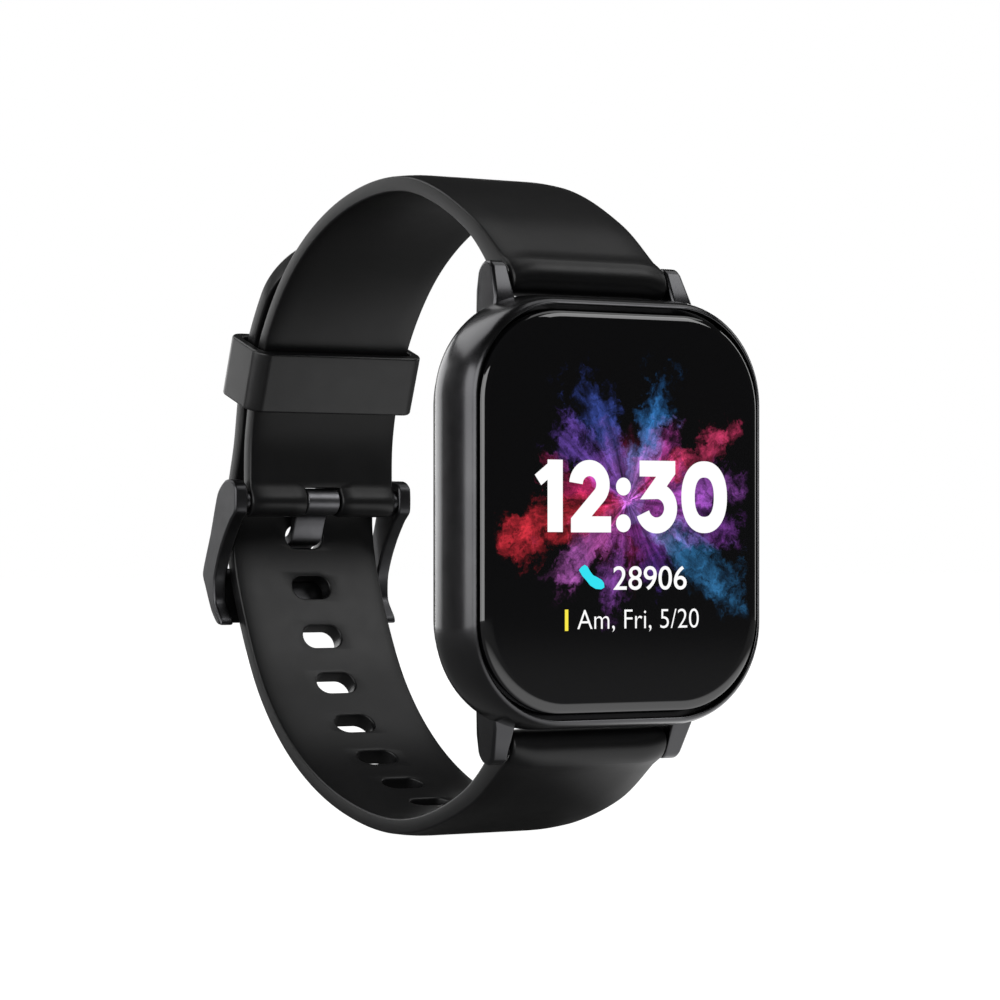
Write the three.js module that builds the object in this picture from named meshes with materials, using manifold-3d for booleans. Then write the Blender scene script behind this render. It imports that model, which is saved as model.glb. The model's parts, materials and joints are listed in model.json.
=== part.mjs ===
// A smartwatch with its band buckled shut, in millimetres.
// The origin is the centre of the wrist opening. +X points to 3 o'clock, +Z to 12 o'clock,
// and the display faces -Y. The band is a loop in the YZ plane, 20 mm wide along X.
import * as THREE from "three";
import { mergeVertices } from "three/addons/utils/BufferGeometryUtils.js";
import Module from "manifold-3d";

const wasm = await Module();
wasm.setup();

// ---- Driving dimensions ----

const RUNNING = 0.05; // radial clearance of turning and sliding fits

const STRAP_WIDTH = 20;
const STRAP_THICKNESS = 2.2;
const STRAP_EDGE = 0.55; // rounding of the strap's long edges
const STRAP_SWELL = 1.1; // how much thicker a strap is at the case
const SWELL_SHARE = 0.16; // share of the strap's length over which it thins
const LAYER_STEP = 2.75; // from the middle of the buckle strap to the middle of the layer outside it
const HEAD_RADIUS = 2.25; // round head of each strap half, about its spring bar
const EYE_RADIUS = 1.9; // round eye of the buckle strap, about the pin
const TONGUE_SLOT = { width: 5.4, below: 2.4, above: 1.7 }; // below and above the pin

const HOLE_PITCH = 6.7;
const HOLE_COUNT = 10;
const HOLES_PAST_TONGUE = 2; // free holes between the tongue and the strap's tip
const HOLE_WIDTH = 5.2;
const HOLE_LENGTH = 3.0;
const TONGUE_HOLE_Z = -2.6; // height of the hole that the tongue is in
const TIP_REACH = 9; // length over which the strap's tip rounds off

const CASE = { width: 38.4, height: 46.2, corner: 11.6 };
const CASE_FRONT = -38.15; // the rim around the glass
const CASE_WIDEST = -33.2;
const CASE_BACK = -29.4;
const FRONT_ROUNDING = { inset: 1.05, depth: 4.4 };
const BACK_ROUNDING = { inset: 1.6, depth: 3.2 };
const CAVITY = { width: 33.6, height: 41.2, corner: 9 };
const WINDOW = { width: 32.2, height: 39.0, corner: 7.8 };
const BOSS_RADIUS = 1.8;
const PILOT_RADIUS = 0.62;

const GLASS = { width: 35.7, height: 42.6, corner: 10.0 };
const GLASS_FRONT = -38.75;
const GLASS_SEAT = -36.9; // ledge that carries the glass
const GLASS_ROUNDING = { inset: 1.1, depth: 0.9 };
const GLASS_GAP = 0.2; // all round the glass in its pocket
const GLUE_THICKNESS = 0.2;
const LEDGE_BACK = -36.1;
const FACE_GAP = 0.02; // between two parts that rest on each other

const COVER = { width: 35.1, height: 42.9, corner: 10.0 };
const COVER_ROUNDING = { inset: 0.9, depth: 0.8 };
const COVER_THICKNESS = 1.2;
const COVER_GAP = 0.3; // room for the gasket
const COVER_FRONT = CASE_BACK + COVER_GAP;
const COVER_BACK = COVER_FRONT + COVER_THICKNESS;
const BUMP = { foot: 12.5, crown: 11.1, height: 1.1 };
const SENSOR_WINDOW = { foot: 5.6, crown: 5.1, height: 1.45 };
const SCREW_X = 13.3;
const SCREW_Z = 17.2;
const SCREW_HEAD = { radius: 1.25, height: 0.5 };
const CHARGE_PIN = { x: 1.6, z: -15.4, radius: 0.65, flange: 1.1 };

const BAR_Y = -30.6; // spring bar axes
const BAR_Z = 25.4;
const BAR_RADIUS = 0.9;
const BAR_HALF = 9.7; // half length of the tube
const TIP_RADIUS = 0.37;
const LUG_INNER = 10.25;
const LUG_OUTER = 12.3;
const LUG_TIP_RADIUS = 1.5;
const LUG_RIM = 0.35;
// The lug's front face, from the case down to its tip, as [y, z]; its back face likewise.
const LUG_FRONT = [[-33.4, 19], [-33.4, 22.9], [-31.75, 26.35]];
const LUG_REAR = [[-29.5, 22.4], [-29.5, 19]];

const BUTTON = { x: 19.4, y: -33.0, z: 7.5, length: 8.4, thickness: 2.6 };
const BUTTON_FACE = { depth: 0.5, rounding: 0.3 };
const BUTTON_POCKET = { floor: 18.0, gap: 0.15 };
const STEM_RADIUS = 0.7;

const PIN_Y = 27.0; // buckle pin axis
const PIN_Z = 1.9;
const PIN_RADIUS = 0.75;
const ARM_INNER = 10.6;
const ARM_OUTER = 12.35;
const ARM_RIM = 0.35;
const KNUCKLE = { radius: 1.6, half: 2.2 };
const TONGUE_HALF = 2.1;
const TONGUE_NOTCH = { width: 5.0, depth: 2.2, slope: -0.72, y: 33.6, z: -5.6 };

const KEEPER_SHARE = 0.815; // of the buckle strap's length
const KEEPER_LENGTH = 7.4;
const KEEPER_OUTER = { width: 23.2, height: 8.7, corner: 1.9 };
const KEEPER_INNER = { width: 20.9, height: 6.1, corner: 0.8 };
const KEEPER_OFFSET = 1.3; // away from the wrist, round both layers

// Outlines of the buckle in the YZ plane, as [y, z].
const ARM_OUTLINE = [
  [25.5, 3.5], [26.6, 4.4], [28.3, 4.4], [30.2, 2.8], [32.0, -2.0], [34.0, -6.7],
  [33.3, -8.6], [31.8, -11.4], [30.4, -12.9], [29.2, -13.1], [29.3, -12.3], [30.8, -10.2],
  [30.8, -7.4], [29.8, -4.9], [28.4, -2.6], [26.8, -0.6], [25.5, 0.7],
];
const BAR_OUTLINE = [
  [32.1, -7.0], [33.1, -6.3], [34.0, -6.9], [33.3, -8.6],
  [31.8, -11.4], [30.4, -12.9], [30.2, -12.0], [31.2, -10.2],
];
// From the pin down the inner side of the hole strap, out through its hole, and on to the bar.
const TONGUE_OUTLINE = [
  [27.2, 0.5], [28.6, 0.1], [29.2, -1.0], [29.9, -2.8], [30.9, -3.4],
  [32.3, -3.8], [33.2, -5.2], [33.9, -5.7], [34.3, -5.0], [32.9, -2.7],
  [31.2, -2.2], [30.4, -1.4], [29.9, 0.2], [29.2, 1.5], [28.0, 2.6],
];

// Inside the case.
const BOARD = { width: 30, height: 21, corner: 3, z: 7.6, front: -34.7, back: -33.9 };
const BATTERY = { width: 22.4, height: 15.6, corner: 1.6, z: -11.0, front: -34.1, back: -30.6 };
const CARRIER = { front: -35.7, back: -34.9 }; // the plastic frame behind the display
const MOTOR = { y: -31.9, z: 16.2, radius: 1.75, from: -3.5, to: 4.2 };
const ROTOR = { shaft: 0.35, hub: 0.7, weight: 1.7, from: -7.8, to: -4.6, end: -8.0 };

// ---- Solids and small shape tools ----

function solidOf(geometry) {
  const bare = geometry.clone();
  for (const name of ["normal", "uv"]) bare.deleteAttribute(name);
  const merged = mergeVertices(bare, 1e-4);
  return new wasm.Manifold(
    new wasm.Mesh({
      numProp: 3,
      vertProperties: new Float32Array(merged.attributes.position.array),
      triVerts: new Uint32Array(merged.index.array),
    }),
  );
}

function geometryOf(manifold) {
  const mesh = manifold.getMesh();
  const geometry = new THREE.BufferGeometry();
  geometry.setAttribute("position", new THREE.BufferAttribute(mesh.vertProperties, 3));
  geometry.setIndex(new THREE.BufferAttribute(mesh.triVerts, 1));
  return geometry;
}

function join(...geometries) {
  return geometryOf(geometries.map(solidOf).reduce((a, b) => a.add(b)));
}

function cut(body, ...tools) {
  return geometryOf(tools.map(solidOf).reduce((a, b) => a.subtract(b), solidOf(body)));
}

function common(a, b) {
  return geometryOf(solidOf(a).intersect(solidOf(b)));
}

// A rectangle with round corners, centred on its origin, grown by a margin all round.
function roundedRectangle({ width, height, corner }, margin = 0) {
  const radius = corner + margin;
  const x = width / 2 + margin - radius;
  const y = height / 2 + margin - radius;
  const shape = new THREE.Shape();
  shape.absarc(x, y, radius, 0, Math.PI / 2);
  shape.absarc(-x, y, radius, Math.PI / 2, Math.PI);
  shape.absarc(-x, -y, radius, Math.PI, Math.PI * 1.5);
  shape.absarc(x, -y, radius, Math.PI * 1.5, Math.PI * 2);
  return shape;
}

// A shape drawn in X and Z, extruded from Y = back towards the display to Y = front.
function plate(shape, back, front, segments = 6) {
  const options = { depth: back - front, bevelEnabled: false, curveSegments: segments };
  return new THREE.ExtrudeGeometry(shape, options).rotateX(Math.PI / 2).translate(0, back, 0);
}

// The same, with the edge at the front end rounded over an inset and a depth.
function crownedPlate(shape, back, front, { inset, depth }, steps = 2, segments = 6) {
  const full = new THREE.ExtrudeGeometry(shape, {
    depth: back - front,
    bevelEnabled: true,
    bevelThickness: depth,
    bevelSize: inset,
    bevelOffset: -inset,
    bevelSegments: steps,
    curveSegments: segments,
  });
  full.rotateX(Math.PI / 2).translate(0, back + depth, 0);
  const keep = box(200, back - front + 2, 200).translate(0, (back + front) / 2 - 1, 0);
  return common(full, keep);
}

function box(x, y, z) {
  return new THREE.BoxGeometry(x, y, z);
}

// A rod along X.
function rod(radius, from, to, sides = 16) {
  const geometry = new THREE.CylinderGeometry(radius, radius, to - from, sides);
  return geometry.rotateZ(Math.PI / 2).translate((from + to) / 2, 0, 0);
}

// A rod along Y.
function post(radius, from, to, sides = 12) {
  const geometry = new THREE.CylinderGeometry(radius, radius, to - from, sides);
  return geometry.translate(0, (from + to) / 2, 0);
}

// A wire coil along X.
function coil(radius, wire, from, to, turns) {
  class Helix extends THREE.Curve {
    getPoint(t, target = new THREE.Vector3()) {
      const angle = t * turns * Math.PI * 2;
      return target.set(from + (to - from) * t, radius * Math.cos(angle), radius * Math.sin(angle));
    }
  }
  const section = new THREE.Shape();
  section.absarc(0, 0, wire, 0, Math.PI * 2);
  const path = new Helix();
  const options = { steps: turns * 8, extrudePath: path, curveSegments: 2, bevelEnabled: false };
  return new THREE.ExtrudeGeometry(section, options);
}

// A shape in Y and Z, extruded along X between two planes, with rounded rims.
function slice(shape, from, to, rim = 0) {
  const options = {
    depth: to - from - 2 * rim,
    bevelEnabled: rim > 0,
    bevelThickness: rim,
    bevelSize: rim,
    bevelOffset: -rim,
    bevelSegments: 1,
    curveSegments: 8,
  };
  const turn = new THREE.Matrix4().makeBasis(
    new THREE.Vector3(0, 1, 0),
    new THREE.Vector3(0, 0, 1),
    new THREE.Vector3(1, 0, 0),
  );
  return new THREE.ExtrudeGeometry(shape, options).applyMatrix4(turn).translate(from + rim, 0, 0);
}

function outline(points) {
  return new THREE.Shape(points.map(([y, z]) => new THREE.Vector2(y, z)));
}

function disc(radius) {
  const shape = new THREE.Shape();
  shape.absarc(0, 0, radius, 0, Math.PI * 2);
  return shape;
}

// ---- The band's shape ----

// Middle of the buckle strap, from the upper spring bar round to the pin.
const BUCKLE_STRAP_LINE = curveThrough([
  [BAR_Y, BAR_Z],
  [-23.4, 31.6],
  [-10.4, 36.9],
  [3.4, 35.9],
  [15.1, 30.2],
  [23.0, 21.0],
  [26.6, 10.4],
  [PIN_Y, PIN_Z],
]);

// Middle of the hole strap, from the lower spring bar round the back, then outside the buckle strap.
const HOLE_STRAP_LINE = curveThrough([
  [BAR_Y, -BAR_Z],
  [-23.1, -31.0],
  [-9.8, -35.0],
  [3.2, -33.7],
  [14.5, -28.9],
  [23.2, -21.1],
  [29.6, -9.3],
  [31.5, -2.9],
  [31.6, 1.4],
  ...[0.92, 0.85, 0.78, 0.71, 0.65, 0.6].map(outsideBuckleStrap),
]);

// A point of the outer layer, beside a share of the buckle strap's length.
function outsideBuckleStrap(share) {
  const { place, away } = station(BUCKLE_STRAP_LINE, share);
  return [place.y + away.y * LAYER_STEP, place.z + away.z * LAYER_STEP];
}

function curveThrough(points) {
  return new THREE.CatmullRomCurve3(points.map(([y, z]) => new THREE.Vector3(0, y, z)));
}

// Place, direction and outward side of a line at a share of its length.
function station(line, share) {
  const place = line.getPointAt(share);
  const along = line.getTangentAt(share);
  const left = new THREE.Vector3(0, -along.z, along.y);
  const away = left.dot(place) < 0 ? left.negate() : left;
  return { place, along, away };
}

// Outline of a strap in the YZ plane: out along its outer face and back along its inner face.
function strapOutline(line, steps) {
  const outer = [];
  const inner = [];
  for (let i = 0; i <= steps; i++) {
    const { place, away } = station(line, i / steps);
    const half = strapThickness(i / steps) / 2;
    outer.push([place.y + away.y * half, place.z + away.z * half]);
    inner.push([place.y - away.y * half, place.z - away.z * half]);
  }
  return outline([...outer, ...inner.reverse()]);
}

function strapThickness(share) {
  return STRAP_THICKNESS + STRAP_SWELL * Math.max(0, 1 - share / SWELL_SHARE) ** 2;
}

// A body turned from its own axes (X across, Y away, Z along) to a station of the band.
function toStation(geometry, { place, along, away }) {
  const across = new THREE.Vector3().crossVectors(away, along);
  const frame = new THREE.Matrix4().makeBasis(across, away, along).setPosition(place);
  return geometry.applyMatrix4(frame);
}

// A full-width piece of strap from a shape in Y and Z.
function strapPiece(shape) {
  return slice(shape, -STRAP_WIDTH / 2, STRAP_WIDTH / 2, STRAP_EDGE);
}

function bore(radius, y, z) {
  return rod(radius + RUNNING, -STRAP_WIDTH / 2 - 1, STRAP_WIDTH / 2 + 1).translate(0, y, z);
}

function buckleStrap() {
  const web = strapPiece(strapOutline(BUCKLE_STRAP_LINE, 28));
  const head = strapPiece(disc(HEAD_RADIUS)).translate(0, BAR_Y, BAR_Z);
  const eye = strapPiece(disc(EYE_RADIUS)).translate(0, PIN_Y, PIN_Z);
  const slot = box(TONGUE_SLOT.width, 8, TONGUE_SLOT.above + TONGUE_SLOT.below);
  slot.translate(0, PIN_Y, PIN_Z + (TONGUE_SLOT.above - TONGUE_SLOT.below) / 2);
  const bores = [bore(BAR_RADIUS, BAR_Y, BAR_Z), bore(PIN_RADIUS, PIN_Y, PIN_Z)];
  return cut(join(web, head, eye), slot, ...bores);
}

// Share of the hole strap's length at which it climbs past a height at the back of the wrist.
function shareAtHeight(z) {
  let low = 0.45;
  let high = 0.8;
  for (let i = 0; i < 20; i++) {
    const middle = (low + high) / 2;
    if (HOLE_STRAP_LINE.getPointAt(middle).z < z) low = middle;
    else high = middle;
  }
  return low;
}

function holes() {
  const length = HOLE_STRAP_LINE.getLength();
  const tongueShare = shareAtHeight(TONGUE_HOLE_Z);
  const size = { width: HOLE_WIDTH, height: HOLE_LENGTH, corner: HOLE_LENGTH / 2 - 0.01 };
  return Array.from({ length: HOLE_COUNT }, (_, i) => {
    const share = tongueShare + ((HOLES_PAST_TONGUE - i) * HOLE_PITCH) / length;
    return toStation(plate(roundedRectangle(size), 4, -4, 3), station(HOLE_STRAP_LINE, share));
  });
}

function holeStrap() {
  const web = strapPiece(strapOutline(HOLE_STRAP_LINE, 38));
  const head = strapPiece(disc(HEAD_RADIUS)).translate(0, BAR_Y, -BAR_Z);
  return cut(join(web, head), bore(BAR_RADIUS, BAR_Y, -BAR_Z), ...holes(), tipCorners());
}

// What rounds the free end in plan: a block less a tongue-shaped plate.
function tipCorners() {
  const half = STRAP_WIDTH / 2 + 0.01;
  const block = box(STRAP_WIDTH + 4, 8, 2 * TIP_REACH);
  const tongue = new THREE.Shape();
  tongue.moveTo(-half, -2 * TIP_REACH);
  tongue.lineTo(half, -2 * TIP_REACH);
  tongue.lineTo(half, -TIP_REACH);
  tongue.absellipse(0, -TIP_REACH, half, TIP_REACH - 0.3, 0, Math.PI);
  return toStation(cut(block, plate(tongue, 5, -5, 10)), station(HOLE_STRAP_LINE, 1));
}

// ---- The case and what it holds ----

function midCase() {
  const shape = roundedRectangle(CASE);
  const front = crownedPlate(shape, CASE_WIDEST, CASE_FRONT, FRONT_ROUNDING, 3);
  const back = crownedPlate(shape, -CASE_WIDEST, -CASE_BACK, BACK_ROUNDING, 3);
  back.rotateX(Math.PI);
  const lugs = [-1, 1].flatMap((side) => [lug(side, 1), lug(side, -1)]);
  const body = join(front, ...lugs, back);
  const pocket = plate(roundedRectangle(GLASS, GLASS_GAP), GLASS_SEAT, CASE_FRONT - 1);
  const window = plate(roundedRectangle(WINDOW), CASE_WIDEST, CASE_FRONT - 1);
  const cavity = plate(roundedRectangle(CAVITY), CASE_BACK + 1, LEDGE_BACK);
  const bosses = atCorners(() => post(BOSS_RADIUS, LEDGE_BACK, CASE_BACK - 0.4));
  const pilots = atCorners(() => post(PILOT_RADIUS, LEDGE_BACK + 1.2, CASE_BACK));
  const hollow = join(cut(body, pocket, window, cavity), ...bosses);
  return cut(hollow, ...pilots, ...buttonOpening(), ...barSockets());
}

// One copy of a geometry at each of the four screw positions.
function atCorners(make) {
  const places = [-1, 1].flatMap((x) => [-1, 1].map((z) => [x * SCREW_X, z * SCREW_Z]));
  return places.map(([x, z]) => make().translate(x, 0, z));
}

// One horn that carries a spring bar end: side is -1 or 1 across, end is 1 at 12 o'clock.
function lug(side, end) {
  const shape = new THREE.Shape();
  const [start, ...front] = LUG_FRONT.map(([y, z]) => [y, end * z]);
  shape.moveTo(...start);
  front.forEach((point) => shape.lineTo(...point));
  shape.absarc(BAR_Y, end * BAR_Z, LUG_TIP_RADIUS, end * Math.PI * 0.8, 0, end > 0);
  LUG_REAR.forEach(([y, z]) => shape.lineTo(y, end * z));
  const [from, to] = side > 0 ? [LUG_INNER, LUG_OUTER] : [-LUG_OUTER, -LUG_INNER];
  return slice(shape, from, to, LUG_RIM);
}

// Blind holes for the spring bar tips, from inside each lug to within 0.9 mm of its outer face.
function barSockets() {
  const right = () => rod(TIP_RADIUS + 0.01 + RUNNING, LUG_INNER - 0.5, 11.4);
  const left = () => right().translate(-LUG_INNER + 0.5 - 11.4, 0, 0);
  const pair = (z) => [right().translate(0, BAR_Y, z), left().translate(0, BAR_Y, z)];
  return [...pair(BAR_Z), ...pair(-BAR_Z)];
}

function coverGlass() {
  const back = GLASS_SEAT - GLUE_THICKNESS - FACE_GAP;
  return crownedPlate(roundedRectangle(GLASS), back, GLASS_FRONT, GLASS_ROUNDING, 3);
}

function frameOf(outer, inner, back, front) {
  return cut(plate(outer, back, front), plate(inner, back + 1, front - 1));
}

function glassGlue() {
  const outer = roundedRectangle(GLASS, -0.15);
  const inner = roundedRectangle(WINDOW, 0.2);
  return frameOf(outer, inner, GLASS_SEAT - FACE_GAP / 2, GLASS_SEAT - GLUE_THICKNESS);
}

function displayPanel() {
  const front = GLASS_SEAT - GLUE_THICKNESS + FACE_GAP;
  return plate(roundedRectangle(WINDOW, -0.1), LEDGE_BACK - 0.05, front);
}

function innerFrame() {
  const body = plate(roundedRectangle(CAVITY, -0.2), CARRIER.back, CARRIER.front);
  const clearances = atCorners(() => post(BOSS_RADIUS + 0.2, CARRIER.front - 1, CARRIER.back + 1));
  const flexSlot = box(9.4, 3, 1.8).translate(0, CARRIER.front + 0.3, -18.6);
  return cut(body, ...clearances, flexSlot);
}

// A film folded from the display's lower edge to the board.
function displayFlex() {
  const bend = [
    [-36.0, -18.2],
    [-34.2, -18.2],
    [-34.2, -3.2],
    [-34.32, -3.2],
    [-34.32, -18.05],
    [-36.0, -18.05],
  ];
  return slice(outline(bend), -4, 4);
}

function mainBoard() {
  const board = plate(roundedRectangle(BOARD), BOARD.back, BOARD.front, 4);
  const clearances = atCorners(() => post(BOSS_RADIUS + 0.3, BOARD.front - 1, BOARD.back + 2));
  return cut(board.translate(0, 0, BOARD.z), ...clearances);
}

function battery() {
  const rounding = { inset: 0.5, depth: 0.5 };
  return crownedPlate(roundedRectangle(BATTERY), BATTERY.back, BATTERY.front, rounding, 2, 3);
}

function motorRotor() {
  const weight = new THREE.Shape();
  weight.absarc(0, 0, ROTOR.weight, 0, Math.PI);
  const shaft = rod(ROTOR.shaft, ROTOR.end, MOTOR.from - FACE_GAP, 12);
  const hub = rod(ROTOR.hub, ROTOR.from, ROTOR.to, 12);
  return join(slice(weight, ROTOR.from, ROTOR.to), hub, shaft);
}

function backCover() {
  const flat = crownedPlate(roundedRectangle(COVER), -COVER_FRONT, -COVER_BACK, COVER_ROUNDING);
  flat.rotateX(Math.PI);
  const lipOuter = roundedRectangle(CAVITY, -0.15);
  const lipInner = roundedRectangle(CAVITY, -1.05);
  const lip = frameOf(lipOuter, lipInner, COVER_FRONT + 0.3, COVER_FRONT - 1.0);
  const bump = new THREE.CylinderGeometry(BUMP.crown, BUMP.foot, BUMP.height, 28);
  bump.translate(0, COVER_BACK + BUMP.height / 2, 0);
  const windowSeat = post(SENSOR_WINDOW.foot + 0.15, COVER_BACK - 0.2, COVER_BACK + 3, 28);
  const lightWell = post(4.2, COVER_FRONT - 2, COVER_BACK + 1, 24);
  const notches = atCorners(() => post(2.2, COVER_FRONT - 3, COVER_FRONT - 0.01));
  const shanks = atCorners(() => post(0.8, COVER_FRONT - 2, COVER_BACK + 1, 16));
  const sinks = atCorners(() => post(SCREW_HEAD.radius + 0.1, COVER_BACK - 0.55, COVER_BACK + 1));
  const pinHoles = [-1, 1].map((side) =>
    post(CHARGE_PIN.radius + 0.07, COVER_FRONT - 2, COVER_BACK + 2, 16).translate(
      side * CHARGE_PIN.x,
      0,
      CHARGE_PIN.z,
    ),
  );
  const body = join(flat, lip, bump);
  return cut(body, windowSeat, lightWell, ...notches, ...shanks, ...sinks, ...pinHoles);
}

function sensorWindow() {
  const { foot, crown, height } = SENSOR_WINDOW;
  return new THREE.CylinderGeometry(crown, foot, height, 28);
}

function coverGasket() {
  const outer = roundedRectangle(CAVITY, 0.45);
  const inner = roundedRectangle(CAVITY, 0.05);
  return frameOf(outer, inner, COVER_FRONT - FACE_GAP / 2, CASE_BACK + FACE_GAP / 2);
}

// A cross-head screw along Y, with its origin under its head.
function coverScrew() {
  const head = post(SCREW_HEAD.radius, 0, SCREW_HEAD.height);
  const shank = post(PILOT_RADIUS - 0.06, -4.2, 0.1);
  const recess = [box(1.3, 0.6, 0.3), box(0.3, 0.6, 1.3)];
  return cut(join(head, shank), ...recess.map((bar) => bar.translate(0, SCREW_HEAD.height, 0)));
}

// A charging contact along Y, with its origin at the tip that shows.
function chargePin() {
  return join(post(CHARGE_PIN.radius, -2.38, 0, 16), post(CHARGE_PIN.flange, -2.38, -1.78, 12));
}

// ---- The side button ----

// A pill standing on the YZ plane, longer along Z.
function pill(margin, depth, rounding) {
  const size = { width: BUTTON.length, height: BUTTON.thickness, corner: BUTTON.thickness / 2 - 0.01 };
  const options = {
    depth,
    bevelEnabled: rounding > 0,
    bevelThickness: rounding,
    bevelSize: rounding,
    bevelOffset: -rounding,
    bevelSegments: 2,
    curveSegments: 6,
  };
  return new THREE.ExtrudeGeometry(roundedRectangle(size, margin), options).rotateY(Math.PI / 2);
}

function buttonOpening() {
  const pocket = pill(BUTTON_POCKET.gap, 4, 0);
  const stemHole = rod(STEM_RADIUS + RUNNING, 15, BUTTON_POCKET.floor + 1);
  return [pocket.translate(BUTTON_POCKET.floor, 0, 0), stemHole].map((opening) =>
    opening.translate(0, BUTTON.y, BUTTON.z),
  );
}

// The cap and its stem, with the origin behind the cap's rounding.
function buttonCap() {
  const cap = pill(0, BUTTON_FACE.depth, BUTTON_FACE.rounding);
  return join(cap, rod(STEM_RADIUS, -3.5, -0.1));
}

// ---- The spring bars ----

// A tube with its ends rolled in, turned about X.
function barTube() {
  const profile = [
    [0.42, -BAR_HALF],
    [BAR_RADIUS, -BAR_HALF],
    [BAR_RADIUS, BAR_HALF],
    [0.42, BAR_HALF],
    [0.42, BAR_HALF - 0.3],
    [0.55, BAR_HALF - 0.3],
    [0.55, 0.3 - BAR_HALF],
    [0.42, 0.3 - BAR_HALF],
    [0.42, -BAR_HALF],
  ];
  const points = profile.map(([radius, x]) => new THREE.Vector2(radius, x));
  return new THREE.LatheGeometry(points, 16).rotateZ(-Math.PI / 2);
}

// The sprung end at +X: a shoulder inside the tube, and the nose that goes into the lug.
function barTip() {
  return join(rod(0.5, 6.9, BAR_HALF - 0.32, 14), rod(TIP_RADIUS, 9.2, 11.1, 14));
}

// ---- The buckle and the keeper ----

function buckleFrame() {
  const shape = outline(ARM_OUTLINE);
  const arms = [
    slice(shape, ARM_INNER, ARM_OUTER, ARM_RIM),
    slice(shape, -ARM_OUTER, -ARM_INNER, ARM_RIM),
  ];
  const bar = slice(outline(BAR_OUTLINE), -ARM_INNER - 0.6, ARM_INNER + 0.6);
  const notch = box(TONGUE_NOTCH.width, 4, TONGUE_NOTCH.depth).rotateX(TONGUE_NOTCH.slope);
  notch.translate(0, TONGUE_NOTCH.y, TONGUE_NOTCH.z);
  const eyes = rod(PIN_RADIUS + RUNNING, -ARM_OUTER - 1, ARM_OUTER + 1).translate(0, PIN_Y, PIN_Z);
  return cut(join(...arms, bar), notch, eyes);
}

function buckleTongue() {
  const knuckle = slice(disc(KNUCKLE.radius), -KNUCKLE.half, KNUCKLE.half);
  const blade = slice(outline(TONGUE_OUTLINE), -TONGUE_HALF, TONGUE_HALF, 0.2);
  const eye = rod(PIN_RADIUS + RUNNING, -KNUCKLE.half - 1, KNUCKLE.half + 1);
  return cut(join(knuckle.translate(0, PIN_Y, PIN_Z), blade), eye.translate(0, PIN_Y, PIN_Z));
}

// A loop about its own Z axis, with its +Y side away from the wrist.
function keeper() {
  const options = { bevelEnabled: false, curveSegments: 4 };
  const outer = roundedRectangle(KEEPER_OUTER);
  const inner = roundedRectangle(KEEPER_INNER);
  const band = new THREE.ExtrudeGeometry(outer, { ...options, depth: KEEPER_LENGTH });
  const opening = new THREE.ExtrudeGeometry(inner, { ...options, depth: 2 * KEEPER_LENGTH });
  band.translate(0, KEEPER_OFFSET, -KEEPER_LENGTH / 2);
  opening.translate(0, KEEPER_OFFSET, -KEEPER_LENGTH);
  return cut(band, opening);
}

// ---- Assembly ----

const FINISHES = {
  satin_case: { color: 0x17181a, roughness: 0.35, metalness: 0.6 },
  glass: { color: 0x0a0a0c, roughness: 0.05, metalness: 0 },
  display: { color: 0x101216, roughness: 0.4, metalness: 0 },
  silicone: { color: 0x18181a, roughness: 0.55, metalness: 0 },
  black_metal: { color: 0x26272a, roughness: 0.3, metalness: 0.9 },
  steel: { color: 0xb8bbc0, roughness: 0.3, metalness: 1 },
  plastic: { color: 0x1c1d20, roughness: 0.6, metalness: 0 },
  board: { color: 0x0f4a2c, roughness: 0.5, metalness: 0.1 },
  foil: { color: 0xa9acb0, roughness: 0.4, metalness: 0.8 },
  seal: { color: 0x303236, roughness: 0.8, metalness: 0 },
  copper_film: { color: 0xb4702e, roughness: 0.5, metalness: 0.3 },
  gold: { color: 0xd9b24c, roughness: 0.25, metalness: 1 },
};

const watch = new THREE.Group();

function subassembly(x, y, z) {
  const group = new THREE.Group();
  group.position.set(x, y, z);
  watch.add(group);
  return group;
}

function add(group, name, geometry, finish, x = 0, y = 0, z = 0) {
  const mesh = new THREE.Mesh(geometry, new THREE.MeshStandardMaterial(FINISHES[finish]));
  mesh.name = name;
  mesh.position.set(x, y, z);
  group.add(mesh);
  return mesh;
}

// The case, front to back.
const head = subassembly(0, 0, 0);
add(head, "mid_case", midCase(), "satin_case");
add(head, "cover_glass", coverGlass(), "glass");
add(head, "glass_glue", glassGlue(), "seal");
add(head, "display_panel", displayPanel(), "display");
add(head, "inner_frame", innerFrame(), "plastic");
add(head, "display_flex", displayFlex(), "copper_film");
add(head, "main_board", mainBoard(), "board");
add(head, "processor", box(7, 0.9, 7), "plastic", -6, BOARD.back + 0.47, 8);
add(head, "radio_shield", box(8, 1.2, 9), "foil", 5, BOARD.back + 0.62, 8);
add(head, "battery", battery(), "foil", 0, 0, BATTERY.z);
const can = rod(MOTOR.radius, MOTOR.from, MOTOR.to, 20);
add(head, "motor_can", can, "steel", 0, MOTOR.y, MOTOR.z);
add(head, "motor_rotor", motorRotor(), "steel", 0, MOTOR.y, MOTOR.z);

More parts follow.
